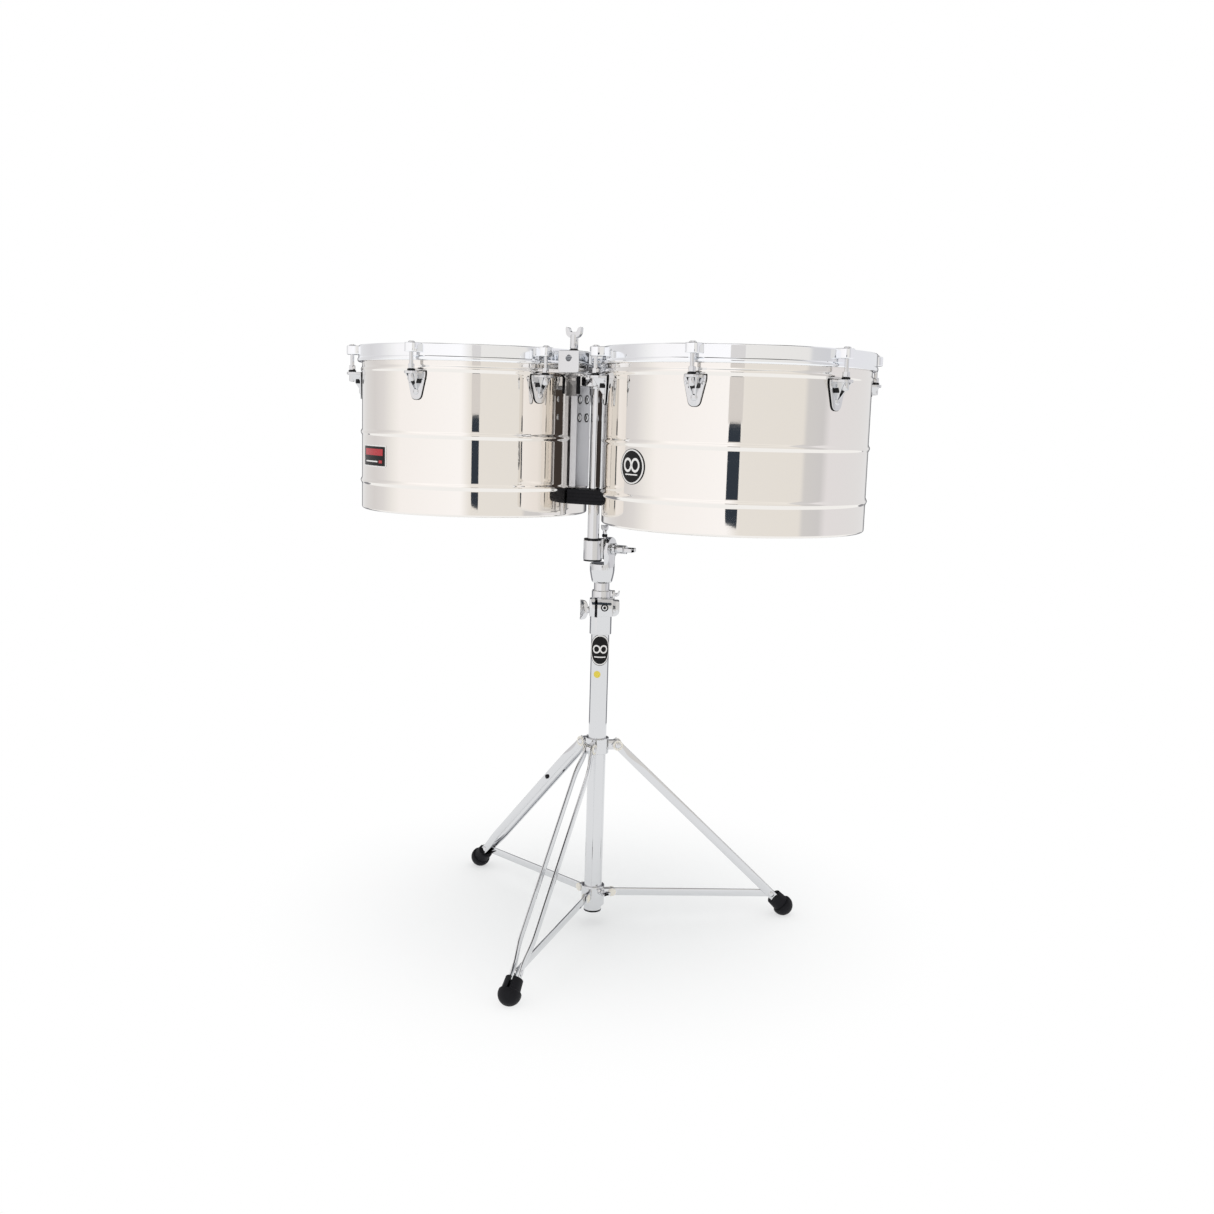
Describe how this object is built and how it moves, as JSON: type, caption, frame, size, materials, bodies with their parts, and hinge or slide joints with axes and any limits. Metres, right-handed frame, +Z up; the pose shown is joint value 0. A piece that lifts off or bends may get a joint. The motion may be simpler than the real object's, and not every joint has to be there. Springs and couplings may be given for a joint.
{
  "type": "timbales on a tripod stand",
  "caption": "Pair of stainless-steel timbales side by side on a chromed, double-braced folding tripod with a tilting, height-adjustable mast and an accessory clamp.",
  "frame": {"origin": "middle of the bounding box at floor height", "axes": "+Z up, +X from the smaller drum to the larger one, +Y from the badge side towards the player"},
  "size_m": [0.8663, 0.569, 0.9931],
  "materials": {
    "stainless": "mirror-polished stainless steel",
    "chrome": "bright chrome plate",
    "film": "coated white drum film",
    "zinc": "satin plate",
    "rubber": "black moulded rubber"
  },
  "bodies": {
    "stand": {"outer_tube": "chrome", "tube_end_plug": "rubber", "leg_collar": "chrome", "height_clamp": "chrome"},
    "height_bolt": {"height_wing_bolt": "chrome"},
    "inner_post": {"inner_tube": "chrome", "memory_lock": "chrome", "tilter_base": "chrome"},
    "lock_lever": {"memory_lock_screw": "chrome"},
    "tilter_bolt": {"tilter_wing_bolt": "chrome"},
    "tilter": {"tilter_socket": "chrome"},
    "mast_screw": {"socket_screw": "chrome"},
    "drum_carrier": {"mast": "chrome", "carrier": "chrome", "accessory_clamp": "chrome", "drum_spacer": "rubber", "small_shell": "stainless", "small_head": "film", "small_rim": "chrome", "small_mount_bracket": "zinc", "large_shell": "stainless", "large_head": "film", "large_rim": "chrome", "large_mount_bracket": "zinc", "small_lug_1": "chrome", "small_lug_2": "chrome", "small_lug_3": "chrome", "small_lug_4": "chrome", "small_lug_5": "chrome", "small_lug_6": "chrome", "large_lug_1": "chrome", "large_lug_2": "chrome", "large_lug_3": "chrome", "large_lug_4": "chrome", "large_lug_5": "chrome", "large_lug_6": "chrome"},
    "accessory_screw": {"accessory_wing_screw": "chrome"},
    "brace_slider": {"brace_collar": "chrome"},
    "collar_screw": {"collar_wing_screw": "chrome"},
    "leg_1": {"leg_1": "chrome", "foot_1": "rubber"},
    "brace_1": {"brace_1": "chrome"},
    "leg_2": {"leg_2": "chrome", "foot_2": "rubber"},
    "brace_2": {"brace_2": "chrome"},
    "leg_3": {"leg_3": "chrome", "foot_3": "rubber"},
    "brace_3": {"brace_3": "chrome"},
    "small_rod_1": {"small_tension_rod_1": "chrome"},
    "small_rod_2": {"small_tension_rod_2": "chrome"},
    "small_rod_3": {"small_tension_rod_3": "chrome"},
    "small_rod_4": {"small_tension_rod_4": "chrome"},
    "small_rod_5": {"small_tension_rod_5": "chrome"},
    "small_rod_6": {"small_tension_rod_6": "chrome"},
    "large_rod_1": {"large_tension_rod_1": "chrome"},
    "large_rod_2": {"large_tension_rod_2": "chrome"},
    "large_rod_3": {"large_tension_rod_3": "chrome"},
    "large_rod_4": {"large_tension_rod_4": "chrome"},
    "large_rod_5": {"large_tension_rod_5": "chrome"},
    "large_rod_6": {"large_tension_rod_6": "chrome"}
  },
  "joints": [
    {"name": "post_height", "type": "slide", "parent": "stand", "child": "inner_post", "axis": [0, 0, 1], "range_m": [0, 0.15]},
    {"name": "drum_tilt", "type": "hinge", "parent": "inner_post", "child": "tilter", "pos_m": [-0.0042, 0.0716, 0.645], "axis": [1, 0, 0], "range_deg": [-45, 5]},
    {"name": "drum_swivel", "type": "hinge", "parent": "tilter", "child": "drum_carrier", "pos_m": [-0.0122, 0.0506, 0.72], "axis": [0, 0, 1], "continuous": true},
    {"name": "height_bolt_turn", "type": "hinge", "parent": "stand", "child": "height_bolt", "pos_m": [0.0051, 0.05166, 0.545], "axis": [0.9063, 0.4226, 0], "continuous": true},
    {"name": "lock_lever_turn", "type": "hinge", "parent": "inner_post", "child": "lock_lever", "pos_m": [0.01393, 0.08005, 0.568], "axis": [0.9063, 0.4226, 0], "continuous": true},
    {"name": "tilter_bolt_turn", "type": "hinge", "parent": "inner_post", "child": "tilter_bolt", "pos_m": [0.0158, 0.0716, 0.645], "axis": [1, 0, 0], "continuous": true},
    {"name": "mast_screw_turn", "type": "hinge", "parent": "tilter", "child": "mast_screw", "pos_m": [0.0028, 0.0626, 0.67], "axis": [0, 0, 1], "continuous": true},
    {"name": "accessory_screw_turn", "type": "hinge", "parent": "drum_carrier", "child": "accessory_screw", "pos_m": [-0.0122, -0.0354, 0.97], "axis": [0, 0, 1], "continuous": true},
    {"name": "leg_1_fold", "type": "hinge", "parent": "stand", "child": "leg_1", "pos_m": [0.02386, 0.09132, 0.3126], "axis": [-0.575, 0.8181, 0], "range_deg": [0, 45.5]},
    {"name": "leg_2_fold", "type": "hinge", "parent": "stand", "child": "leg_2", "pos_m": [-0.03531, 0.08604, 0.3126], "axis": [-0.421, -0.907, 0], "range_deg": [0, 45.5]},
    {"name": "leg_3_fold", "type": "hinge", "parent": "stand", "child": "leg_3", "pos_m": [-0.00115, 0.03744, 0.3126], "axis": [0.996, 0.0889, 0], "range_deg": [0, 45.5]},
    {"name": "brace_slide", "type": "slide", "parent": "stand", "child": "brace_slider", "axis": [0, 0, 1], "range_m": [0, 0.181]},
    {"name": "brace_1_turn", "type": "hinge", "parent": "brace_slider", "child": "brace_1", "pos_m": [0.02247, 0.09035, 0.0531], "axis": [-0.575, 0.8181, 0], "range_deg": [0, 86.2]},
    {"name": "brace_2_turn", "type": "hinge", "parent": "brace_slider", "child": "brace_2", "pos_m": [-0.03377, 0.08533, 0.0531], "axis": [-0.421, -0.907, 0], "range_deg": [0, 86.2]},
    {"name": "brace_3_turn", "type": "hinge", "parent": "brace_slider", "child": "brace_3", "pos_m": [-0.0013, 0.03913, 0.0531], "axis": [0.996, 0.0889, 0], "range_deg": [0, 86.2]},
    {"name": "collar_screw_turn", "type": "hinge", "parent": "brace_slider", "child": "collar_screw", "pos_m": [0.02299, 0.05892, 0.06], "axis": [0.9063, -0.4226, 0], "continuous": true},
    {"name": "small_rod_1_turn", "type": "hinge", "parent": "drum_carrier", "child": "small_rod_1", "pos_m": [-0.06233, 0.1597, 0.94], "axis": [0, 0, 1], "continuous": true},
    {"name": "small_rod_2_turn", "type": "hinge", "parent": "drum_carrier", "child": "small_rod_2", "pos_m": [-0.24377, 0.25617, 0.94], "axis": [0, 0, 1], "continuous": true},
    {"name": "small_rod_3_turn", "type": "hinge", "parent": "drum_carrier", "child": "small_rod_3", "pos_m": [-0.41805, 0.14728, 0.94], "axis": [0, 0, 1], "continuous": true},
    {"name": "small_rod_4_turn", "type": "hinge", "parent": "drum_carrier", "child": "small_rod_4", "pos_m": [-0.41087, -0.0581, 0.94], "axis": [0, 0, 1], "continuous": true},
    {"name": "small_rod_5_turn", "type": "hinge", "parent": "drum_carrier", "child": "small_rod_5", "pos_m": [-0.22943, -0.15457, 0.94], "axis": [0, 0, 1], "continuous": true},
    {"name": "small_rod_6_turn", "type": "hinge", "parent": "drum_carrier", "child": "small_rod_6", "pos_m": [-0.05515, -0.04568, 0.94], "axis": [0, 0, 1], "continuous": true},
    {"name": "large_rod_1_turn", "type": "hinge", "parent": "drum_carrier", "child": "large_rod_1", "pos_m": [0.40683, 0.16953, 0.94], "axis": [0, 0, 1], "continuous": true},
    {"name": "large_rod_2_turn", "type": "hinge", "parent": "drum_carrier", "child": "large_rod_2", "pos_m": [0.21259, 0.2685, 0.94], "axis": [0, 0, 1], "continuous": true},
    {"name": "large_rod_3_turn", "type": "hinge", "parent": "drum_carrier", "child": "large_rod_3", "pos_m": [0.02976, 0.14977, 0.94], "axis": [0, 0, 1], "continuous": true},
    {"name": "large_rod_4_turn", "type": "hinge", "parent": "drum_carrier", "child": "large_rod_4", "pos_m": [0.04117, -0.06793, 0.94], "axis": [0, 0, 1], "continuous": true},
    {"name": "large_rod_5_turn", "type": "hinge", "parent": "drum_carrier", "child": "large_rod_5", "pos_m": [0.23541, -0.1669, 0.94], "axis": [0, 0, 1], "continuous": true},
    {"name": "large_rod_6_turn", "type": "hinge", "parent": "drum_carrier", "child": "large_rod_6", "pos_m": [0.41824, -0.04817, 0.94], "axis": [0, 0, 1], "continuous": true}
  ],
  "couplings": [
    {"joint": "leg_2_fold", "follows": "leg_1_fold", "ratio": 1},
    {"joint": "leg_3_fold", "follows": "leg_1_fold", "ratio": 1},
    {"joint": "brace_slide", "follows": "leg_1_fold", "m_per_rad": 0.22666},
    {"joint": "brace_1_turn", "follows": "leg_1_fold", "ratio": 1.8901},
    {"joint": "brace_2_turn", "follows": "leg_1_fold", "ratio": 1.8901},
    {"joint": "brace_3_turn", "follows": "leg_1_fold", "ratio": 1.8901}
  ]
}
